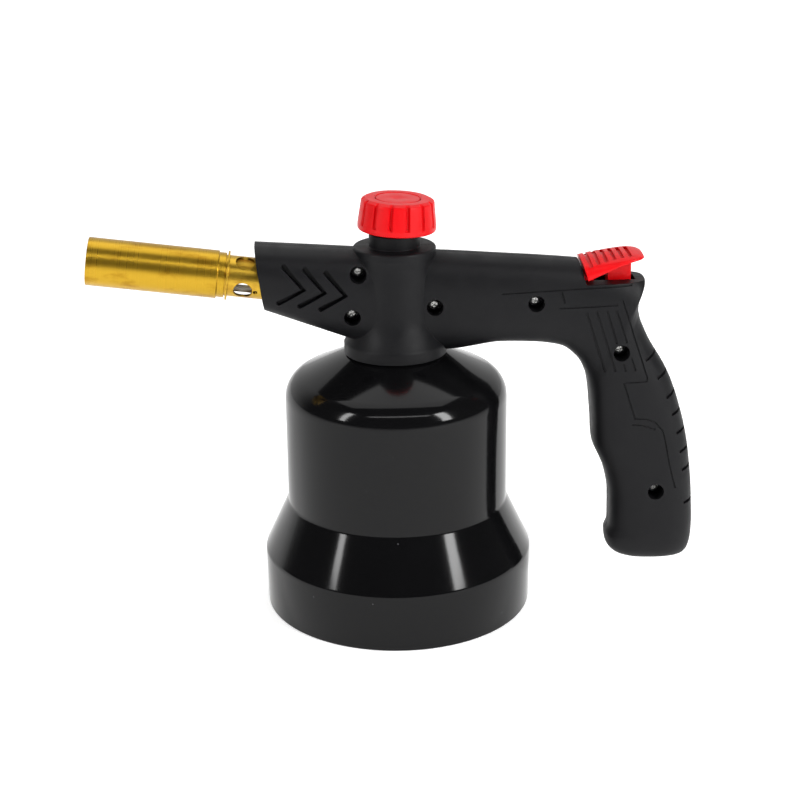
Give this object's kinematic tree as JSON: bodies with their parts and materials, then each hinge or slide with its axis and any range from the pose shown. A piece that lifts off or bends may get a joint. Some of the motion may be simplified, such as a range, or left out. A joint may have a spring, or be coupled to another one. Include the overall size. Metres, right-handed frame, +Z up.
{
  "type": "cartridge gas torch",
  "caption": "Hand torch for a pierceable gas cartridge: steel bell foot, pistol-grip housing, fluted valve knob, brass burner tube and piezo ignition lever.",
  "frame": {"origin": "centre of the base's underside, on the bell's axis, at floor level", "axes": "+Z up along the bell's axis, -X towards the burner's mouth, +X towards the handle, -Y the side with the screw heads"},
  "size_m": [0.2746, 0.1232, 0.1913],
  "materials": {
    "black_plastic": "fine moulded texture",
    "gloss_black": "high gloss",
    "nylon": "satin",
    "red": "satin",
    "brass": "turned",
    "bronze": "heat-tarnished",
    "steel": "satin",
    "zinc": "zinc plated",
    "rubber": "matte",
    "sinter": "sintered",
    "ceramic": "glazed",
    "cream": "satin"
  },
  "bodies": {
    "torch": {"cartridge_bell": "gloss_black", "thread_ring": "nylon", "valve_body": "brass", "bell_nut": "steel", "piercing_needle": "steel", "cartridge_seal": "rubber", "gas_filter": "sinter", "valve_gland": "brass", "mixer_tube": "bronze", "burner_sleeve": "brass", "retaining_ring": "bronze", "jet_holder": "brass", "gas_jet": "brass", "flame_holder": "bronze", "electrode_insulator": "ceramic", "electrode": "steel", "housing_left": "black_plastic", "housing_right": "black_plastic", "housing_screw_1": "zinc", "housing_screw_2": "zinc", "housing_screw_3": "zinc", "housing_screw_4": "zinc", "housing_screw_5": "zinc", "housing_screw_6": "zinc", "button_pin": "steel", "piezo_module": "nylon", "piezo_spring": "steel", "ignition_lead": "rubber"},
    "pressure_plate": {"pressure_plate": "steel"},
    "base_cap": {"base_cap": "nylon"},
    "spindle_seal": {"spindle_o_ring": "rubber"},
    "control_knob": {"control_knob": "red", "knob_cap": "red", "knob_screw": "steel", "valve_spindle": "brass"},
    "ignition_button": {"ignition_button": "red"},
    "piezo_plunger": {"piezo_plunger": "cream"}
  },
  "joints": [
    {"name": "base_travel", "type": "slide", "parent": "torch", "child": "pressure_plate", "axis": [0, 0, -1], "range_m": [0, 0.0101]},
    {"name": "base_turn", "type": "hinge", "parent": "pressure_plate", "child": "base_cap", "pos_m": [0, 0, 0.007], "axis": [0, 0, 1], "range_deg": [0, 900]},
    {"name": "knob_rise", "type": "slide", "parent": "torch", "child": "spindle_seal", "axis": [0.0506, 0, 0.9987], "range_m": [0, 0.00125]},
    {"name": "knob_turn", "type": "hinge", "parent": "spindle_seal", "child": "control_knob", "pos_m": [0, 0, 0.1546], "axis": [0.0506, 0, 0.9987], "range_deg": [0, 452]},
    {"name": "button_press", "type": "hinge", "parent": "torch", "child": "ignition_button", "pos_m": [0.0865, 0, 0.1484], "axis": [0, 1, 0], "range_deg": [0, 15], "stiffness_Nm_per_rad": 0.5, "springref_deg": -5.73},
    {"name": "plunger_travel", "type": "slide", "parent": "torch", "child": "piezo_plunger", "axis": [0, 0, -1], "range_m": [0, 0.0035], "deforming": ["piezo_spring"]}
  ],
  "couplings": [
    {"joint": "base_travel", "follows": "base_turn", "m_per_rad": 0.00063662},
    {"joint": "knob_turn", "follows": "knob_rise", "rad_per_m": 6283.2},
    {"joint": "plunger_travel", "follows": "button_press", "m_per_rad": 0.0131}
  ]
}
